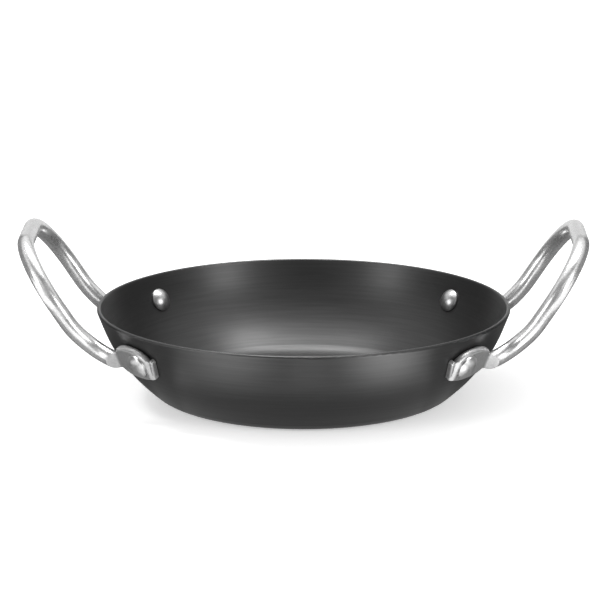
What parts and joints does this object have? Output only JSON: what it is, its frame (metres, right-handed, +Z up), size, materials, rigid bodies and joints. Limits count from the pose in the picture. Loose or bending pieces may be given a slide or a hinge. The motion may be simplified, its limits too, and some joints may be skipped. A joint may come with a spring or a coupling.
{
  "type": "kadai",
  "caption": "Shallow round cooking pan with a flared wall, a flat base and bent-rod loop handles on both sides, riveted through the wall.",
  "frame": {"origin": "centre of the pan's flat base, on its underside, which is the face the object stands on", "axes": "+Z up along the pan's axis, +X to the right-hand handle, -Y towards the viewer of the picture"},
  "size_m": [0.279, 0.2046, 0.0843],
  "materials": {
    "pan": "dark anodised, spun brushed",
    "handle": "polished stainless",
    "rivet": "polished stainless"
  },
  "bodies": {
    "root": {"pan": "pan", "handle_left": "handle", "handle_right": "handle", "rivet_right_front": "rivet", "rivet_right_back": "rivet", "rivet_left_back": "rivet", "rivet_left_front": "rivet"}
  },
  "joints": []
}
